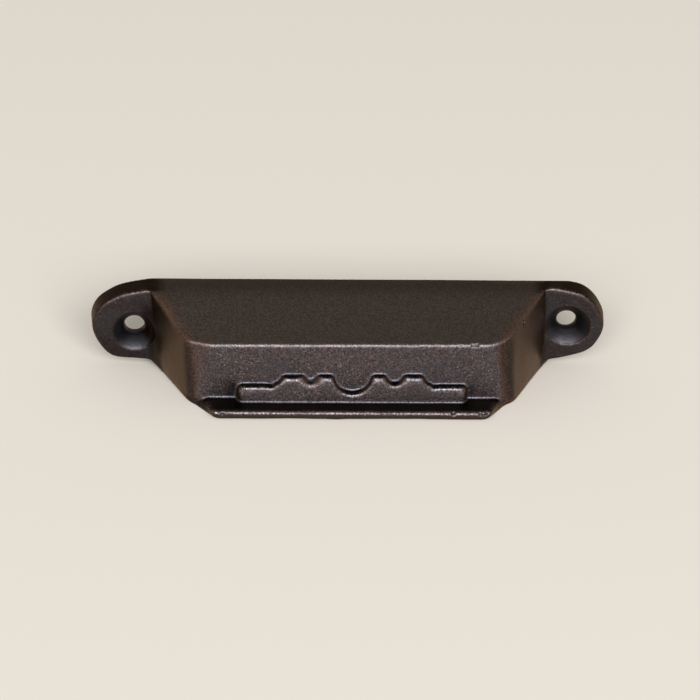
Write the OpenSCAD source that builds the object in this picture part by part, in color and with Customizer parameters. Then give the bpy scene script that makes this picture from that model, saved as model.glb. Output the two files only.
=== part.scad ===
// Cup-shaped drawer pull: one iron casting with a screw ear at each end.
// X runs along the drawer front, Z is up, and the pull stands out of the drawer front along -Y.
// The origin is on the back plane, midway between the ears, at the mean height of the screw holes.

/* [Hood] */
// How far the face of the hood stands out from the drawer front
face_out = 19; // [15:0.5:26]
// Width of the flat part of the face, between its two rounded corners
face_w = 65.4; // [54:0.2:84]
// Angle of each side wall off straight out, which narrows the hood towards its face
side_angle = 30.5; // [10:0.5:38]
// Radius of the upright corner between a side wall and the face
corner_r = 4.4; // [3.6:0.1:6]
// Height of the hood from its top edge at the drawer front to its open lower rim
hood_h = 20.9; // [18:0.1:30]
// How much lower the top is at the face than at the drawer front
top_drop = 5.7; // [2:0.1:8]
// Thickness of the top, the side walls and the face
wall = 3; // [2:0.1:3.4]

/* [Ledge] */
// How far the ledge along the foot of the face stands out past the face
ledge_out = 6.1; // [4:0.1:9]
// Thickness of the ledge
ledge_t = 1.9; // [1.2:0.1:2.6]
// How much shorter the front edge of the ledge is than the flat of the face, at each end
ledge_inset = 3.4; // [2:0.1:6]
// Angle of the ends of the ledge off straight out
ledge_end_angle = 33; // [20:1:45]
// Radius of the two front corners of the ledge
ledge_corner_r = 1.2; // [0.6:0.1:2]

/* [Raised pad] */
// Width of the raised pad on the face
pad_w = 50.6; // [42:0.1:52]
// How far the pad stands out past the face
pad_t = 2; // [1.5:0.1:3.5]
// Height of the pad's crests over the ledge
crest_h = 6.3; // [5.2:0.1:8]
// Height of the pad's level ends over the ledge
shoulder_h = 3.7; // [2.6:0.1:4.4]
// Width over the outer two crests, between the curved steps down to the ends
crest_w = 30.4; // [28:0.1:33]
// Radius of the round notch in the middle of the pad
middle_notch_r = 4.2; // [3:0.1:4.6]
// Radius of the small round notch beside it
side_notch_r = 2.1; // [1.5:0.05:2.5]
// Distance of each small notch from the middle
side_notch_x = 9.2; // [8:0.05:10.5]

/* [Ears] */
// Distance between the screw holes
hole_spacing = 96; // [90:0.5:128]
// How far both screw holes sit off the middle towards +X, as cast
hole_shift = 0.75; // [-1:0.05:1]
// How much higher the right screw hole is than the left one, as cast
hole_step = 1.7; // [-2:0.1:2]
// Height of the hood's top edge over the mean height of the screw holes
top_over_holes = 10.1; // [9.5:0.1:12]
// Thickness of the ears
ear_t = 4.6; // [3.5:0.1:6]
// Radius of the round end of each ear
ear_r = 8.9; // [7.5:0.1:9]
// How far the centre of each round end lies outside half the hole spacing
ear_over = 0.2; // [0:0.1:1.5]
// Height of the round ends' centres over the mean height of the screw holes
ear_rise = 0.15; // [0:0.05:0.5]
// How much higher the right round end is than the left one, as cast
ear_step = 0.8; // [-1:0.1:1]
// Height of each ear where it meets the hood
ear_root_h = 18.8; // [18.2:0.1:20]

/* [Screw holes] */
// Diameter of the screw holes
hole_d = 4.5; // [3.5:0.1:5.5]
// Diameter of the countersinks at the face of the ears
sink_d = 9.4; // [7.5:0.1:10]
// Angle across the countersinks
sink_angle = 80; // [76:1:100]

/* [Hidden] */
$fn = 96;

// How far one part of the casting runs into the next, so that they join
bite = 1;
// Smallest radius of a corner inside the hood
inner_r_min = 0.5;
// How far a straight edge that runs into an arc ends inside it, so that the two cross cleanly
tuck = 0.01;
// How far a cut runs past the face that it opens
past = 2;
// Width that is wider than any hood, for prisms that are trimmed by another
wide = 300;

top_z = top_over_holes;
rim_z = top_z - hood_h;
ledge_z = rim_z + ledge_t;
ramp_r = crest_h - shoulder_h;
sink_h = (sink_d - hole_d) / 2 / tan(sink_angle / 2);

// Half the width at the drawer front of an outline with a flat front edge, rounded front corners
// and sides at the given angle
function back_x(flat_w, out, angle, r) = flat_w / 2 + r / cos(angle) + (out - r) * tan(angle);

// Where a line from p touches a circle of radius r about c, on the side given by 1 or -1
function touch(p, c, r, side) =
    let (
        away = atan2(p[1] - c[1], p[0] - c[0]),
        turn = acos(r / norm(p - c)),
        reach = r - tuck
    )
    [c[0] + reach * cos(away + side * turn), c[1] + reach * sin(away + side * turn)];

// Outline seen from above: straight sides that narrow outwards and rounded front corners
module plan(half_back, out, angle, r) {
    centre_x = half_back - (out - r) * tan(angle) - r / cos(angle);
    side_x = centre_x + (r - tuck) * cos(angle);
    side_y = r - out - (r - tuck) * sin(angle);
    polygon([
        [-half_back, 0], [-side_x, side_y], [-centre_x, -out],
        [centre_x, -out], [side_x, side_y], [half_back, 0]
    ]);
    for (side = [-1, 1])
        translate([side * centre_x, r - out])
            circle(r = r);
}

// Outline seen from the side, lowered from the top edge and set back from the face by inset:
// level as far as the ears reach, then sloping down to the face
module side_profile(inset, back_y, low_z) {
    front_y = inset - face_out;
    front_z = top_z - inset - top_drop * (face_out - inset - ear_t) / (face_out - ear_t);
    polygon([
        [back_y, low_z], [back_y, top_z - inset], [-ear_t, top_z - inset],
        [front_y, front_z], [front_y, low_z]
    ]);
}

// The hood as a solid block, before it is hollowed
module hood_block() {
    half_back = back_x(face_w, face_out, side_angle, corner_r);
    intersection() {
        translate([0, 0, rim_z])
            linear_extrude(hood_h)
                plan(half_back, face_out, side_angle, corner_r);
        rotate([90, 0, 90])
            linear_extrude(wide, center = true)
                side_profile(0, 0, rim_z);
    }
}

// The finger space, open to the drawer front and downwards
module finger_space() {
    half_back = back_x(face_w, face_out, side_angle, corner_r) - wall / cos(side_angle);
    inner_r = max(corner_r - wall, inner_r_min);
    back_half = half_back + past * tan(side_angle);
    intersection() {
        translate([0, past, rim_z - past])
            linear_extrude(hood_h + past)
                plan(back_half, face_out - wall + past, side_angle, inner_r);
        rotate([90, 0, 90])
            linear_extrude(wide, center = true)
                side_profile(wall, past, rim_z - past);
    }
}

// Flange along the foot of the face, flush with the lower rim
module ledge() {
    out = face_out + ledge_out;
    half_back = back_x(face_w - 2 * ledge_inset, out, ledge_end_angle, ledge_corner_r);
    intersection() {
        translate([0, 0, rim_z])
            linear_extrude(ledge_t)
                plan(half_back, out, ledge_end_angle, ledge_corner_r);
        translate([-wide / 2, -out, rim_z])
            cube([wide, ledge_out + bite, ledge_t]);
    }
}

// Upper outline of the pad: two crests on each side of a round notch, then level ends
module pad_outline() {
    difference() {
        union() {
            translate([-pad_w / 2, -bite])
                square([pad_w, shoulder_h + bite]);
            translate([-crest_w / 2 - ramp_r, 0])
                square([crest_w + 2 * ramp_r, crest_h]);
        }
        translate([0, crest_h])
            circle(r = middle_notch_r);
        for (side = [-1, 1]) {
            translate([side * side_notch_x, crest_h])
                circle(r = side_notch_r);
            translate([side * (crest_w / 2 + ramp_r), crest_h])
                circle(r = ramp_r);
        }
    }
}

// Raised pad, standing on the ledge and backed by the face
module pad() {
    translate([0, bite - face_out, ledge_z])
        rotate([90, 0, 0])
            linear_extrude(pad_t + bite)
                pad_outline();
}

// One ear: a round end and a web that widens to the side wall, with side 1 at +X and -1 at -X
module ear(side) {
    half_back = back_x(face_w, face_out, side_angle, corner_r);
    root_x = half_back - ear_t * tan(side_angle) - bite / 2;
    end = [side * (hole_spacing / 2 + ear_over), ear_rise + side * ear_step / 2];
    root_top = [side * half_back, top_z];
    root_low = [side * root_x, top_z - ear_root_h];
    rotate([90, 0, 0])
        linear_extrude(ear_t) {
            translate(end)
                circle(r = ear_r);
            polygon([
                [side * root_x, top_z], root_top, touch(root_top, end, ear_r, -side), end,
                touch(root_low, end, ear_r, side), root_low
            ]);
        }
}

// Countersunk hole through one ear
module screw_hole(side) {
    translate([hole_shift + side * hole_spacing / 2, 0, side * hole_step / 2])
        rotate([90, 0, 0]) {
            translate([0, 0, -past])
                cylinder(h = ear_t + 2 * past, d = hole_d);
            translate([0, 0, ear_t - sink_h])
                cylinder(h = sink_h, d1 = hole_d, d2 = sink_d);
        }
}

module pull_casting() {
    color([0.29, 0.24, 0.21])
        difference() {
            union() {
                hood_block();
                ledge();
                pad();
                ear(-1);
                ear(1);
            }
            finger_space();
            screw_hole(-1);
            screw_hole(1);
        }
}

pull_casting();
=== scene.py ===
import math

import bpy
import numpy as np
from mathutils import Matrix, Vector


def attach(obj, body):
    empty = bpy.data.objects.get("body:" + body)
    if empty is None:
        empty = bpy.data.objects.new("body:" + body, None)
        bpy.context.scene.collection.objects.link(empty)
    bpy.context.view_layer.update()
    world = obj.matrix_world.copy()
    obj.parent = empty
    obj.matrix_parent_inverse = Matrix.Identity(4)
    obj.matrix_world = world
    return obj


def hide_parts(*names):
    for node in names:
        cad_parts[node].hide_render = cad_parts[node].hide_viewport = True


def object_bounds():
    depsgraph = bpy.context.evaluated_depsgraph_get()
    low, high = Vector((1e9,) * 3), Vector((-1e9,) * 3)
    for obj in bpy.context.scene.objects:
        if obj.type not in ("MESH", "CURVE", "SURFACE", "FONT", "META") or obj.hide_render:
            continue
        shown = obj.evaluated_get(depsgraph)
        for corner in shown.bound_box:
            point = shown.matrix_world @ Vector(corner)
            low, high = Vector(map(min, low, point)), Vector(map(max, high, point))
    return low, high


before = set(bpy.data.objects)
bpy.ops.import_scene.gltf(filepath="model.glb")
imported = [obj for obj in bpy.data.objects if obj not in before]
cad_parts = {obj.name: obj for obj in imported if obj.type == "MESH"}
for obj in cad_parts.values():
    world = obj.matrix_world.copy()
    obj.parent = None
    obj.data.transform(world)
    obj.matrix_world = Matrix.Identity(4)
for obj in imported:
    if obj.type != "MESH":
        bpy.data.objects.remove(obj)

import openvdb as vdb
from mathutils import Matrix, Vector

cad_box = [list(corner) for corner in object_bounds()]


# Hood
# A cast iron shell, level by the drawer front and then sloping down to its face, with side walls
# that draw together. It is cast in one with the ledge, the raised pad and the ears.

# The casting's form is one field of distances in mm, negative inside, on a grid: x runs along the
# drawer front, out away from it and z up
mm = 0.001
step = 0.25
x = np.arange(-57.9, 58.0, step, dtype=np.float32)[:, None, None]
out = np.arange(-1.0, 26.2, step, dtype=np.float32)[None, :, None]
z = np.arange(-12.1, 11.4, step, dtype=np.float32)[None, None, :]


def round_edge(a, b, size):
    """Where both solids are, with the convex edge between them rounded over."""
    near = np.maximum(size - np.abs(a - b), 0) / size
    return np.maximum(a, b) + near * near * size * 0.25


def round_root(a, b, size):
    """Where either solid is, with a fillet in the root between them."""
    near = np.maximum(size - np.abs(a - b), 0) / size
    return np.minimum(a, b) - near * near * size * 0.25


def part_way(values, start, end):
    """How far the values have come from start to end, from 0 to 1."""
    return np.clip((values - start) / (end - start), 0, 1)


def by_side(place_x, left, right):
    """The left value on the left half of the pull and the right value on its right half."""
    return np.where(place_x > 0, right, left)


rim, top = (round(corner[2] / mm, 3) for corner in cad_box)
face = 19.0
wall = 3.0
hood_back = 46.4
side_angle = math.radians(30.5)

# The top is level as far out as the ears reach, then slopes down to the face, and its edge droops
# towards the left ear
level_to = 4.3 - 0.014 * x
slope = np.arctan2(5.7 - 0.005 * x, face - level_to)
droop = 0.0065 + 0.0032 * part_way(out, 0, 4.9)
top_line = top - droop * np.maximum(-38 - x, 0) ** 2
hood_top = round_edge(
    z - top_line, (z - top_line) * np.cos(slope) + (out - level_to) * np.sin(slope), 1.4)

# The two side walls aren't quite alike, as cast: the left one stands upright at the face, the
# right one leans in at the top, and both draw in at the foot of the ears
wall_start, wall_run = 4.6, 12.2
along_wall = np.clip((out - wall_start) / wall_run, 0, 1.2)
wall_height = top - rim - np.maximum(out - level_to, 0) * np.tan(slope)
up_wall = np.clip((z - rim) / wall_height, 0, 1.05)
twist_low = by_side(x, -2.0 + 1.6 * along_wall, -0.6 + 0.9 * along_wall)
twist_high = by_side(x, 0.4 - 0.2 * along_wall, -0.9 - 1.0 * along_wall)
twist = (1 - up_wall) * twist_low + up_wall * twist_high
belly = by_side(x, 3.6, 2.0) * up_wall * (1 - up_wall)
twist = twist + belly * np.clip(1 - along_wall, 0, 1)
side_wall = (np.abs(x) - hood_back - twist) * math.cos(side_angle) + out * math.sin(side_angle)

# The left end of the face falls back towards the top, in a soft bend
past_bend = -31.2 - x
set_back = 0.165 * (past_bend + np.sqrt(past_bend ** 2 + 0.4)) * up_wall
upright_rounding = 2.3 + by_side(x, -1.5 * up_wall ** 2, 1.6 * up_wall)
hood = round_edge(side_wall, out + set_back - face, upright_rounding)
top_fall = 0.25 * set_back * part_way(out, 9.0, 16.0)
hood = round_edge(hood, hood_top + top_fall, 0.12 + 0.58 * part_way(out, 5.0, 7.5))

# The finger space behind it, as far as the photograph lets one guess, has walls of even thickness
finger_top = (z - top + wall) * np.cos(slope) + (out - level_to) * np.sin(slope)
finger_top = round_edge(z - top + wall, finger_top, 3.0)
finger_space = round_edge(side_wall + wall, out - face + wall, 1.2)
finger_space = round_edge(finger_space, finger_top, 2.4)


# Ledge
# A flange along the foot of the face, flush with the open lower rim. It is part of the casting
# and runs into the upright corners of the hood with a wide fillet.
ledge_top = rim + 1.75
ledge_reach = 25.0 + 0.002 * x

# The ends of the ledge lean: along the rim they run on from the side walls, and along the top
# they run more nearly straight out, most of all the left one
low_start, low_angle = 51.1, math.radians(41)
high_start, high_angle = by_side(x, 34.1, 39.3), np.radians(by_side(x, 7.0, 19.0))
end_low = (np.abs(x) - low_start) * math.cos(low_angle) + out * math.sin(low_angle)
end_high = (np.abs(x) - high_start) * np.cos(high_angle) + out * np.sin(high_angle)
lean = np.clip((z - rim) / (ledge_top - rim), 0, 1.5)
ledge = round_edge(end_low * (1 - lean) + end_high * lean, side_wall, 1.2)
ledge = round_edge(ledge, out - ledge_reach, 1.0)
ledge = round_edge(ledge, z - ledge_top, 0.85)
foot_fillet = 0.4 + 0.4 * part_way(np.abs(x), 31.0, 34.0)
form = round_root(hood, ledge, 0.01 + foot_fillet * part_way(out, 16.0, 18.5))


# Raised pad
# The raised pad stands on the ledge against the face: two crests on each side of a round notch,
# and curved steps down to level ends. Its walls have draft, as a sand casting needs.
pad_thick = 2.0
pad_half = 25.3
pad_middle = 0.25
crest, shoulder = 6.15 + 0.006 * x, 3.72
crest_half = 15.2
ramp = crest - shoulder
pad_x = np.abs(x - pad_middle)
pad_height = z - ledge_top
to_front = part_way(out, face, face + pad_thick)

# The left small notch is shallow against the face and opens wide towards the front
middle_notch = (0.0, 4.2)
side_notch = (9.2, by_side(x, 1.05 + 1.15 * to_front, 1.75 + 0.4 * to_front))
step_down = (crest_half + ramp, ramp - 0.3)
pad = round_edge(pad_x - pad_half + 0.5 * to_front, pad_height - shoulder, 1.5)
pad = np.minimum(pad, np.maximum(pad_x - crest_half - ramp, pad_height - crest))
for middle, radius in (middle_notch, side_notch, step_down):
    notch = np.hypot(pad_x - middle, pad_height - crest) - radius
    pad = round_edge(pad, -notch, 1.0)

# The front edge is rounded more at the two ends and along the crests, where hands rub it
by_end, by_crest = part_way(pad_x, 23.4, 24.8), part_way(pad_height, 4.4, 5.6)
front_rounding = 0.75 + 0.6 * by_end + 0.6 * by_crest
pad = round_edge(pad, out - face - pad_thick + 0.06 * pad_height, front_rounding)
pad = np.maximum(pad, face - 1.0 - out)
form = round_root(form, pad, 0.4)


# Ears
# The two screw ears are flat plates on the drawer front, part of the casting, with round ends and
# a web that widens to the side wall. The right one sits a little higher, as cast.
left_ear = (
    (-38.0, 9.9), (-41.0, 9.9), (-44.0, 9.75), (-46.2, 9.4), (-48.4, 8.95), (-50.6, 8.3),
    (-52.9, 7.0), (-55.0, 5.2), (-56.2, 3.2), (-56.65, 0.9), (-56.3, -1.5), (-55.1, -4.2),
    (-53.3, -6.6), (-51.0, -7.75), (-47.2, -8.05), (-43.9, -8.4), (-41.5, -9.4), (-38.0, -9.6))
right_ear = (
    (38.0, 10.2), (44.5, 10.2), (47.0, 9.95), (49.3, 9.55), (51.0, 9.1), (52.2, 8.5),
    (53.4, 7.55), (54.6, 6.2), (55.4, 4.95), (56.4, 2.9), (56.75, 0.9), (56.3, -1.2),
    (55.0, -3.9), (53.2, -5.7), (50.9, -6.8), (47.6, -7.9), (45.4, -8.5), (43.0, -9.5),
    (38.0, -9.8))


def smooth_loop(corners, steps=12):
    """A closed smooth curve through the given corners."""
    p = np.array(corners)
    a, b, c, d = (np.roll(p, shift, 0)[:, None] for shift in (1, 0, -1, -2))
    t = np.linspace(0, 1, steps, endpoint=False)[None, :, None]
    curve = b + 0.5 * t * (c - a + t * (2 * a - 5 * b + 4 * c - d + t * (3 * (b - c) + d - a)))
    return curve.reshape(-1, 2)


def ear_outline(corners):
    """Distance to the outline of an ear on the drawer front, negative inside."""
    loop = smooth_loop(corners)
    px, pz = x[:, 0, 0][:, None], z[0, 0][None]
    nearest = np.full((px.size, pz.size), 1e9, np.float32)
    within = np.zeros((px.size, pz.size), bool)
    for (ax, az), (bx, bz) in zip(loop, np.roll(loop, -1, 0)):
        ex, ez = bx - ax, bz - az
        t = np.clip(((px - ax) * ex + (pz - az) * ez) / (ex * ex + ez * ez), 0, 1)
        nearest = np.minimum(nearest, np.hypot(px - ax - t * ex, pz - az - t * ez))
        if az != bz:
            within ^= ((az > pz) != (bz > pz)) & (px < ax + (pz - az) * ex / ez)
    return np.where(within, -nearest, nearest)[:, None, :]


# Each ear stays on its own half and ends at the side wall, and its top runs down into the top of
# the hood. The fillet against the side wall fades out towards the top.
left_thick, right_thick = 4.9, 4.3 + 0.1 * (x - 48.85)
stop_at_wall = -0.4 - 6.0 * part_way(out, 3.2, 2.2) - side_wall
stop_at_top = hood_top - 0.4 * np.clip(side_wall, 0, 8) - 0.3 * part_way(out, 1.5, 0.5)
for corners, thick, draft, own_half, low_fillet in (
        (left_ear, left_thick, 0.06, x, 1.2), (right_ear, right_thick, 0.1, -x, 0.2)):
    ear = round_edge(ear_outline(corners) - draft * (thick - out), out - thick, 0.9)
    ear = np.maximum(ear, np.maximum(own_half, stop_at_wall))
    ear = np.maximum(ear, stop_at_top)
    fillet = 0.8 + low_fillet * part_way(z, 7.0, 1.0)
    form = round_root(form, ear, fillet * np.clip((9.4 - z) / 1.5, 0.02, 1))
form = np.maximum(form, z - top)


# Screw holes, pits and the ground back
# The finger space and the countersunk screw holes are cut, then come the pits and the slow
# unevenness that sand casting leaves. The back is ground flat, so that it seats on the drawer.
def slow_noise(spacing, seed):
    """Smooth noise from 0 to 1 over the grid, with lumps about one spacing (mm) wide."""
    rng = np.random.RandomState(seed)
    ranges = [(a.min(), a.max()) for a in (x, out, z)]
    lattice = rng.rand(*(int((hi - lo) / spacing) + 3 for lo, hi in ranges)).astype(np.float32)
    for axis, (line, (lo, _)) in enumerate(zip((x, out, z), ranges)):
        place = (line.ravel() - lo) / spacing
        cell = place.astype(int)
        t = place - cell
        t = (t * t * (3 - 2 * t)).reshape([-1 if a == axis else 1 for a in range(3)])
        lattice = np.take(lattice, cell, axis) * (1 - t) + np.take(lattice, cell + 1, axis) * t
    return lattice


form = round_edge(form, rim - z, 0.4)
form = round_edge(form, -finger_space, 0.8)

# Each screw hole: x, z, face of its ear, radius, and radius and half angle of its countersink,
# which widens to a bell mouth and stops short of the hood
screw_holes = (
    (-47.35, -0.83, left_thick, 2.2, 4.75, math.radians(33.0)),
    (48.85, 0.83, right_thick, 2.15, 4.95, math.radians(38.5)))
mouth_angle = math.radians(58)
mouth_width = 0.9
mouth_depth = mouth_width / math.tan(mouth_angle)
for hole_x, hole_z, ear_face, hole_radius, sink_radius, angle in screw_holes:
    reach = np.hypot(x - hole_x, z - hole_z)
    depth = ear_face - out
    mouth = (reach - sink_radius) * math.cos(mouth_angle) + depth * math.sin(mouth_angle)
    cone_side = (reach - sink_radius + mouth_width) * math.cos(angle)
    cone = cone_side + (depth - mouth_depth) * math.sin(angle)
    sink = -round_edge(-mouth, -cone, 1.2)
    sink = round_edge(np.maximum(sink, reach - sink_radius), -0.6 - hood, 2.0)
    form = round_edge(form, -sink, 0.3)
    form = round_edge(form, hole_radius - reach, 0.35)

# Each casting pit: x, out, z and radius
pits = (
    (26.2, 18.9, 4.5, 0.42), (27.1, 18.8, 4.4, 0.38), (23.6, 19.1, 4.6, 0.4),
    (22.2, 24.9, -9.2, 0.5), (28.1, 24.9, -9.35, 0.34), (29.4, 24.8, -9.35, 0.34),
    (28.75, 24.9, -9.75, 0.3), (-28.9, 24.8, -8.95, 0.34), (-28.2, 24.9, -9.5, 0.3),
    (37.8, 11.6, 6.1, 0.36))
for pit_x, pit_out, pit_z, radius in pits:
    away = np.sqrt((x - pit_x) ** 2 + (out - pit_out) ** 2 + (z - pit_z) ** 2)
    form = round_edge(form, radius - away, 0.25)
form = form + 0.14 * (slow_noise(9.0, 3) - 0.5) + 0.07 * (slow_noise(2.6, 8) - 0.5)
form = round_edge(form, -out, 0.3)


# Skin of the casting
# The surface of the iron as it left the sand, as one mesh. Each point knows how sharply the metal
# bends there, how far it is from the side wall, how sheltered it lies and which way it faces.
margin = 16
depth_kept = 2.0
solid = np.clip(form, -depth_kept, depth_kept).astype(np.float32)
solid = np.pad(solid, margin, mode="edge")
wall_distance = np.broadcast_to(np.clip(side_wall, -6, 6), form.shape)


def soften(values, passes):
    """The values averaged with their neighbours, the given number of times."""
    for _ in range(passes):
        for axis in range(3):
            values = (np.roll(values, 1, axis) + 2 * values + np.roll(values, -1, axis)) * 0.25
    return values


def box_mean(values, reach):
    """Mean over a cube that reaches the given number of cells each way."""
    for axis in range(3):
        total = np.cumsum(values, axis, dtype=np.float64)
        total = np.roll(total, -reach, axis) - np.roll(total, reach + 1, axis)
        values = (total / (2 * reach + 1)).astype(np.float32)
    return values


fields = {
    "bend": soften(solid, 5) - solid,
    "side": np.pad(wall_distance, margin, mode="edge"),
    "sheltered": box_mean(box_mean(np.clip(0.5 - solid / step, 0, 1), 6), 4),
    "along": np.gradient(solid, step, axis=0),
    "outward": np.gradient(solid, step, axis=1),
    "upward": np.gradient(solid, step, axis=2),
}

skin_level, merge_flat = 0.0, 0.0002
grid = vdb.FloatGrid(background=depth_kept)
grid.copyFromArray(solid)
points, triangles, quads = grid.convertToPolygons(skin_level, merge_flat)
cell = np.minimum(points.astype(int), np.array(solid.shape) - 2)
t = points - cell
at_point = {name: np.zeros(len(points), np.float32) for name in fields}
for i in (0, 1):
    for j in (0, 1):
        for k in (0, 1):
            weight = np.abs(1 - i - t[:, 0]) * np.abs(1 - j - t[:, 1]) * np.abs(1 - k - t[:, 2])
            for name, values in fields.items():
                at_point[name] += weight * values[cell[:, 0] + i, cell[:, 1] + j, cell[:, 2] + k]

place = (points - margin) * step + np.array([x.min(), out.min(), z.min()])
vertices = np.stack([place[:, 0], -place[:, 1], place[:, 2]], 1) * mm
vertices = np.clip(vertices, np.array(cad_box[0]), np.array(cad_box[1]))
mesh = bpy.data.meshes.new("pull_skin")
faces = triangles.astype(int).tolist() + quads.astype(int).tolist()
mesh.from_pydata(vertices.tolist(), [], faces)
mesh.validate()
mesh.shade_smooth()
pull = bpy.data.objects.new("pull_skin", mesh)
bpy.context.scene.collection.objects.link(pull)
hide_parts("pull_casting")
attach(pull, "root")


# Wear of the skin, with painted highlight and painted shade
# Brushing and hands leave the sharp edges bright and the shoulders rubbed to copper, and the
# patina stays dark in the roots. A painted highlight is laid on the edges that face the lamp and
# painted shade in the recesses. Each mark is a share from 0 to 1 at every point of the skin.
def between(values, low, high):
    """A soft step from 0 at low to 1 at high, which may lie below low."""
    t = part_way(values, low, high)
    return t * t * (3 - 2 * t)


def strongest(*shares):
    return np.maximum.reduce(shares)


at_x, at_out, at_z = place.T
from_wall, bend, sheltered = at_point["side"], at_point["bend"], at_point["sheltered"]
normal = np.stack([at_point["along"], at_point["outward"], at_point["upward"]], 1)
normal /= np.maximum(np.linalg.norm(normal, axis=1), 1e-6)[:, None]
sideways, outward, upward = np.abs(normal[:, 0]), normal[:, 1], normal[:, 2]
upright = np.abs(upward)
left = at_x < 0

# Where each point is on the casting
front = between(outward, 0.55, 0.85)
on_ear = between(np.abs(at_x), 42.2, 43.6) * between(at_out, 6.5, 5.5)
on_wall = between(sideways, 0.66, 0.82) * between(upward, 0.5, 0.3) * between(at_out, 3.6, 4.6)
hood_ends = between(np.abs(at_x), 29.5, 33.0)
off_back = between(at_out, 0.1, 0.5)
edge = between(bend, 0.02, 0.13)

# Round the upright corners the face turns into the side wall, first coppery and then in painted
# shade where it turns away from the lamp
corner = between(upright, 0.5, 0.3) * hood_ends * (1 - on_ear)
first_turn = between(sideways, 0.03, 0.3) * between(sideways, 0.8, 0.4) * corner
last_turn = between(sideways, 0.1, 0.5) * between(sideways, 0.9, 0.62) * corner

# Inside the countersinks, which are smooth, with painted shade towards the hole. The right one
# takes only part of the drilled grey, a painted shade that dims its highlight, and the left one's
# grey fades out near the side wall
in_sink, deep = np.zeros(len(points)), np.zeros(len(points))
for hole_x, hole_z, _, _, radius, _ in screw_holes:
    away = np.hypot(at_x - hole_x, at_z - hole_z)
    in_sink = np.maximum(in_sink, between(away, radius + 0.1, radius - 0.3))
    deep = np.maximum(deep, between(away, radius - 0.4, radius - 2.0))
in_sink = in_sink * off_back * np.where(left, between(from_wall, 0.0, 1.6), 0.75)
deep = deep * off_back

# Bright wear with a painted highlight on edges that face up to the lamp, less at the ends of the
# hood and on the ears, and on the pad where it stands free and over its upper part
pad_front = front * between(at_out, 19.9, 20.5) * between(at_out, 22.2, 21.8)
wear_and_highlight = edge * between(upward, 0.12, 0.4) * between(at_out, 0.8, 2.0)
wear_and_highlight = wear_and_highlight * (1 - 0.85 * hood_ends * (1 - on_ear)) * (1 - 0.6 * on_ear)
wear_and_highlight = strongest(
    wear_and_highlight,
    0.7 * pad_front * between(sheltered, 0.47, 0.35),
    0.45 * pad_front * between(at_z, -5.3, -3.6))

# Copper where the ends of the hood are rubbed, along its side edges and on the flanks of the pad,
# but not on the leaning ends of the ledge
side_edge = between(from_wall, -2.8, -0.4) * between(at_z, 0.5, 4.5) * between(at_out, 4.0, 7.0)
pad_flank = between(at_out, 19.6, 20.2) * between(at_out, 22.2, 21.8) * between(sideways, 0.12, 0.45)
ledge_end = between(-at_x, 30.2, 31.2) * between(at_z, -9.2, -9.7) * between(at_out, 14.0, 17.0)
copper = strongest(
    between(sheltered, 0.46, 0.28) * hood_ends * (1 - on_ear),
    0.55 * first_turn,
    0.9 * side_edge * hood_ends * between(upright, 0.3, 0.6),
    edge * hood_ends * (0.8 - 0.4 * on_ear))
rubbed_flank = 0.8 * pad_flank * between(at_z, -8.0, -7.0) * between(bend, -0.02, 0.03)
copper = strongest(copper * (1 - 0.8 * ledge_end), rubbed_flank)

# Dark, partly patina and partly painted shade: on the top of the ledge, beside the ears, round the
# turned corners, beside the pad, in the left ear's valley, near the back and in the finger space;
# the left ear is also made darker towards its bottom
ledge_front = between(at_out, 18.4, 19.2) * between(at_out, 24.6, 24.0) * between(at_z, 1.5, 0.0)
near_ear = np.where(
    left, between(at_out - 0.5 * at_z, 16.0, 4.5), 0.35 * between(at_out, 7.0, 4.8))
beside_pad = np.where(
    left, 0.85 * between(at_x, -28.4, -26.0), 0.5 * between(at_x, 27.6, 26.0))
beside_pad = beside_pad * between(np.abs(at_x), 24.6, 25.4) * between(at_z, -4.2, -5.6)
valley = between(from_wall, 2.4, 0.4) * between(from_wall, -1.0, -0.3) * between(at_z, 8.0, 4.0)
valley = valley * between(at_out, 8.5, 5.5) * between(at_out, 0.2, 0.8)
dark_roots = strongest(
    between(upward, 0.6, 0.9) * ledge_front,
    0.7 * on_wall * near_ear,
    0.7 * last_turn,
    beside_pad * between(at_out, 20.2, 19.6) * front,
    0.75 * valley * left,
    0.3 * on_ear * front * between(at_z, 3.0, -5.0) * left,
    0.3 * between(at_out, 7.0, 2.5) * between(upward, 0.5, 0.9),
    0.9 * between(sheltered, 0.56, 0.70) * between(at_out, 10.0, 6.0))
dark = strongest(
    dark_roots * (1 - in_sink),
    # painted shade deeper in the countersinks, towards the hole
    np.where(left, 0.4, 0.5) * deep,
    # painted shade on the leaning ends of the ledge, except where they face down
    0.7 * ledge_end * between(upward, -0.5, -0.2))

# The pits are dark and get neither bright wear nor painted highlight
for pit_x, pit_out, pit_z, radius in pits:
    away = np.sqrt((at_x - pit_x) ** 2 + (at_out - pit_out) ** 2 + (at_z - pit_z) ** 2)
    dark = np.maximum(dark, 0.9 * between(away, radius + 0.1, radius - 0.15))
    wear_and_highlight = wear_and_highlight * between(away, radius - 0.1, radius + 0.15)

# Painted highlight: a pale bluish-grey line in the root along the foot of the face, where the
# fillet catches the lamp
foot_root_highlight = between(-bend, 0.02, 0.12) * between(at_out, 18.0, 18.8)
foot_root_highlight = foot_root_highlight * between(upward, 0.95, 0.8) * between(np.abs(at_x), 31.5, 29.5)

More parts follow.
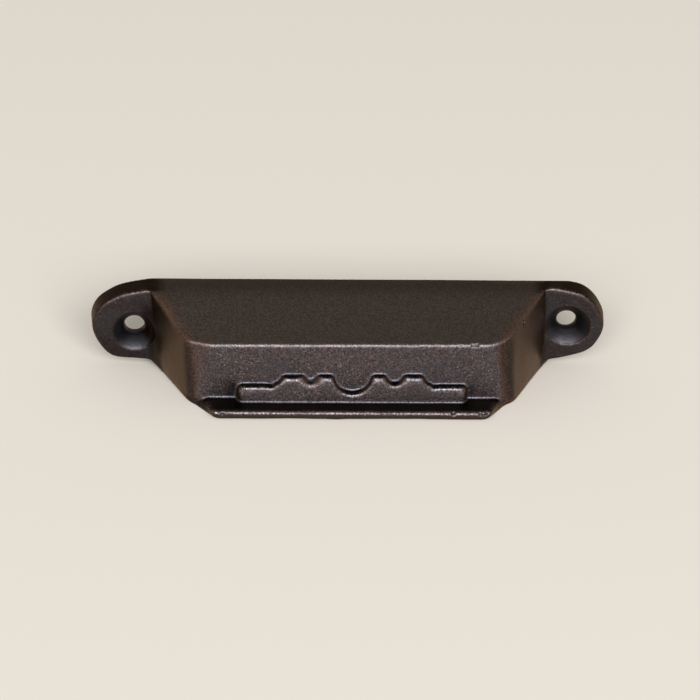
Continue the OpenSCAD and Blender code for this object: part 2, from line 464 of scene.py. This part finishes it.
ear_side = between(np.abs(at_x), 40.0, 43.0) * (1 - front)
ear_side = ear_side * between(at_out, 5.2, 4.8) * between(outward, -0.7, -0.4)
skin_marks = {
    "front": front,
    "ear": on_ear,
    "ear_side": ear_side,
    "wall": on_wall,
    "right_wall": on_wall * (at_x > 0),
    "lip": front * between(at_out, 22.5, 24.0),
    "sink": in_sink,
    "wear_and_highlight": wear_and_highlight,
    "copper": copper,
    "dark": dark,
    # painted highlight in the root along the foot of the face
    "root": foot_root_highlight,
}
for name, values in skin_marks.items():
    attribute = mesh.attributes.new(name, "FLOAT", "POINT")
    attribute.data.foreach_set("value", values.astype(np.float32))


# Antique copper finish
# Cast iron with an antique copper patina: nearly black in its roots, partly patina and partly
# painted shade, mottled pinkish grey on the as-cast faces, smooth olive brown on the side walls,
# partly a painted reflection of a warm board, rubbed to copper on its shoulders and worn bright on
# its sharp edges, with a painted highlight on those that face the lamp.
patina = bpy.data.materials.new("antique_copper_iron")
patina.use_nodes = True
nodes, links = patina.node_tree.nodes, patina.node_tree.links
shader = nodes["Principled BSDF"]
object_place = nodes.new("ShaderNodeTexCoord").outputs["Object"]


def feed(socket, value):
    """Link a socket to another node's output, or set a plain value on it."""
    if isinstance(value, bpy.types.NodeSocket):
        links.new(value, socket)
    else:
        socket.default_value = value


def mark(name):
    node = nodes.new("ShaderNodeAttribute")
    node.attribute_name = name
    return node.outputs["Fac"]


def maths(operation, *values):
    node = nodes.new("ShaderNodeMath")
    node.operation = operation
    for socket, value in zip(node.inputs, values):
        feed(socket, value)
    return node.outputs[0]


def spread(value, low, high, to_low=0.0, to_high=1.0):
    """A soft step of the value, from to_low at low to to_high at high."""
    node = nodes.new("ShaderNodeMapRange")
    node.interpolation_type = "SMOOTHSTEP"
    for socket, given in zip(node.inputs, (value, low, high, to_low, to_high)):
        feed(socket, given)
    return node.outputs[0]


def grain(size_mm, detail, seed):
    """Noise from 0 to 1 with lumps of about the given size."""
    node = nodes.new("ShaderNodeTexNoise")
    node.noise_dimensions = "4D"
    feed(node.inputs["Vector"], object_place)
    node.inputs["W"].default_value = seed
    node.inputs["Scale"].default_value = 1 / (size_mm * mm)
    node.inputs["Detail"].default_value = detail
    node.inputs["Roughness"].default_value = 0.6
    return node.outputs["Fac"]


def blend(amount, under, over):
    """The over colour laid on the under colour by the given amount."""
    node = nodes.new("ShaderNodeMix")
    node.data_type = "RGBA"
    feed(node.inputs[0], amount)
    for socket, colour in ((node.inputs[6], under), (node.inputs[7], over)):
        feed(socket, (*colour, 1) if isinstance(colour, tuple) else colour)
    return node.outputs[2]


fine = grain(0.36, 3.0, 1.0)
speck = spread(grain(0.34, 2.0, 2.0), 0.55, 0.72)
mottle = spread(grain(1.6, 3.0, 3.0), 0.4, 0.62)
cloud = spread(grain(14.0, 2.0, 4.0), 0.3, 0.7)
wear_grain = grain(0.5, 3.0, 5.0)
patches = maths("MULTIPLY", spread(grain(7.0, 2.0, 6.0), 0.42, 0.6), 0.35)
even_grain = spread(fine, 0.35, 0.65)

# The skins: as cast on the face, browner on the top, smooth on the side walls, darker on the ears
face_speck = maths("MULTIPLY", speck, spread(cloud, 0, 1, 0.4, 0.9))
face_skin = blend(spread(fine, 0.34, 0.66), (0.036, 0.027, 0.027), (0.155, 0.119, 0.117))
face_skin = blend(maths("MULTIPLY", mottle, 0.55), face_skin, (0.062, 0.062, 0.072))
face_skin = blend(patches, face_skin, (0.052, 0.055, 0.066))
face_skin = blend(face_speck, face_skin, (0.37, 0.295, 0.285))

top_speck = maths("MULTIPLY", speck, spread(cloud, 0, 1, 0.0, 0.2))
top_skin = blend(even_grain, (0.06, 0.046, 0.037), (0.1, 0.077, 0.063))
top_skin = blend(top_speck, top_skin, (0.2, 0.125, 0.085))

# Side-wall olive brown: partly the walls' own tone, partly a painted reflection of a warm board
left_wall_skin = blend(cloud, (0.082, 0.053, 0.034), (0.105, 0.070, 0.051))
right_wall_skin = blend(cloud, (0.091, 0.062, 0.047), (0.116, 0.082, 0.068))
wall_skin = blend(mark("right_wall"), left_wall_skin, right_wall_skin)
wall_skin = blend(maths("MULTIPLY", even_grain, 0.25), wall_skin, (0.05, 0.032, 0.023))

ear_skin = blend(spread(fine, 0.3, 0.7), (0.026, 0.021, 0.021), (0.05, 0.040, 0.040))
ear_skin = blend(patches, ear_skin, (0.047, 0.050, 0.054))
ear_skin = blend(maths("MULTIPLY", speck, 0.45), ear_skin, (0.16, 0.12, 0.115))
ear_side_skin = blend(fine, (0.013, 0.006, 0.003), (0.03, 0.015, 0.009))
lip_skin = blend(fine, (0.02, 0.013, 0.011), (0.085, 0.060, 0.052))

wall_share, sink_share, wear_and_highlight_share = mark("wall"), mark("sink"), mark("wear_and_highlight")
front_share = mark("front")
colour = blend(front_share, top_skin, blend(mark("ear"), face_skin, ear_skin))
colour = blend(mark("ear_side"), colour, ear_side_skin)
colour = blend(mark("lip"), colour, lip_skin)
colour = blend(wall_share, colour, wall_skin)

# What lies on the skins: the drilled grey of the countersinks, black that is partly patina and
# partly painted shade, rubbed copper, bright wear with a painted highlight on it, and a painted
# highlight in the root
drilled_grey = (0.058, 0.058, 0.068)
patina_and_shade_black = (0.005, 0.0045, 0.0042)
rubbed_copper = (0.17, 0.083, 0.048)
wear_and_highlight_colour = (0.29, 0.27, 0.29)
root_highlight_colour = (0.19, 0.185, 0.22)
copper_share = maths("MULTIPLY", mark("copper"), spread(fine, 0.42, 0.66, 0.25, 0.85))
wear_and_highlight_amount = maths("MULTIPLY", wear_and_highlight_share, spread(wear_grain, 0.42, 0.66, 0.0, 0.8))
root_highlight_share = maths("MULTIPLY", mark("root"), spread(fine, 0.35, 0.65, 0.1, 0.8))
colour = blend(sink_share, colour, drilled_grey)
# The black laid on here is partly patina in the roots and partly painted shade
colour = blend(mark("dark"), colour, patina_and_shade_black)
colour = blend(copper_share, colour, rubbed_copper)
# Bright wear, with a painted highlight where the edges face the lamp
colour = blend(wear_and_highlight_amount, colour, wear_and_highlight_colour)
# The pale line in the root is a painted highlight
colour = blend(root_highlight_share, colour, root_highlight_colour)
feed(shader.inputs["Base Color"], colour)

shader.inputs["Metallic"].default_value = 0.95
shader.inputs["Specular Tint"].default_value = (0.85, 0.75, 0.66, 1)
smooth_share = maths("MAXIMUM", wall_share, sink_share)
rough = spread(fine, 0.3, 0.7, 0.40, 0.50)
rough = maths("ADD", rough, maths("MULTIPLY", smooth_share, -0.1))
feed(shader.inputs["Roughness"], maths("SUBTRACT", rough, maths("MULTIPLY", wear_and_highlight_share, 0.08)))

relief = maths("MULTIPLY", fine, spread(front_share, 0, 1, 0.3, 1.0))
relief = maths("MULTIPLY", relief, spread(smooth_share, 0, 1, 1.0, 0.12))
relief = maths("ADD", relief, maths("MULTIPLY", mottle, 0.15))
bump = nodes.new("ShaderNodeBump")
bump.inputs["Strength"].default_value = 0.7
bump.inputs["Distance"].default_value = 0.1 * mm
feed(bump.inputs["Height"], relief)
feed(shader.inputs["Normal"], bump.outputs["Normal"])
mesh.materials.append(patina)


# Floor
# A plain pale matt floor just under the pull.
bpy.ops.mesh.primitive_plane_add(size=6, location=(0, 0, cad_box[0][2] - 0.1 * mm))
floor = bpy.context.active_object
floor.name = "floor"
pale = bpy.data.materials.new("pale_floor")
pale.use_nodes = True
pale_shader = pale.node_tree.nodes["Principled BSDF"]
pale_shader.inputs["Base Color"].default_value = (0.75, 0.695, 0.61, 1)
pale_shader.inputs["Roughness"].default_value = 0.9
floor.data.materials.append(pale)


# Light and camera
# A large softbox stands far off in front of the pull and above it, in a pale even room.
scene = bpy.context.scene
scene.view_settings.view_transform = "Standard"
world = bpy.data.worlds.new("studio")
world.use_nodes = True
room = world.node_tree.nodes["Background"]
room.inputs["Color"].default_value = (1.0, 0.98, 0.95, 1)
room.inputs["Strength"].default_value = 0.42
scene.world = world

lamp = bpy.data.lights.new("front_softbox", "AREA")
lamp.shape = "RECTANGLE"
lamp.size = 3.6
lamp.size_y = 1.5
lamp.energy = 198
lamp.color = (0.95, 0.96, 1.0)
softbox = bpy.data.objects.new("front_softbox", lamp)
softbox.location = (0.0, -3.15, 2.04)
softbox.rotation_euler = (-softbox.location).to_track_quat("-Z", "Y").to_euler()
scene.collection.objects.link(softbox)

# The camera looks down on the pull from the front, a little from its left and tilted in its hand,
# and the pull sits off the middle of the picture
tilt, swing, roll = math.radians(30.48), math.radians(4.25), math.radians(-2.51)
looked_at = Vector((0, 0, 0.0099))
distance = 0.706
px_per_mm = 4.52
focal_px = px_per_mm * distance / mm
picture_px = 700
looked_at_px = (349.35, 279.52)
back = Vector((-math.sin(swing) * math.cos(tilt), -math.cos(swing) * math.cos(tilt), math.sin(tilt)))
level_right = Vector((math.cos(swing), -math.sin(swing), 0))
level_up = back.cross(level_right)
right = math.cos(roll) * level_right - math.sin(roll) * level_up
up = math.sin(roll) * level_right + math.cos(roll) * level_up
off_x, off_y = ((picture_px / 2 - px) / focal_px for px in looked_at_px)
aim = (back - right * off_x + up * off_y).normalized()
right = (right - aim * right.dot(aim)).normalized()
up = aim.cross(right)

camera = bpy.data.objects.new("camera", bpy.data.cameras.new("camera"))
camera.data.sensor_width = 36
camera.data.lens = focal_px / picture_px * camera.data.sensor_width
camera.data.clip_start = 0.01
turn = Matrix((right, up, aim)).transposed()
camera.matrix_world = Matrix.Translation(looked_at + back * distance) @ turn.to_4x4()
scene.collection.objects.link(camera)
scene.camera = camera
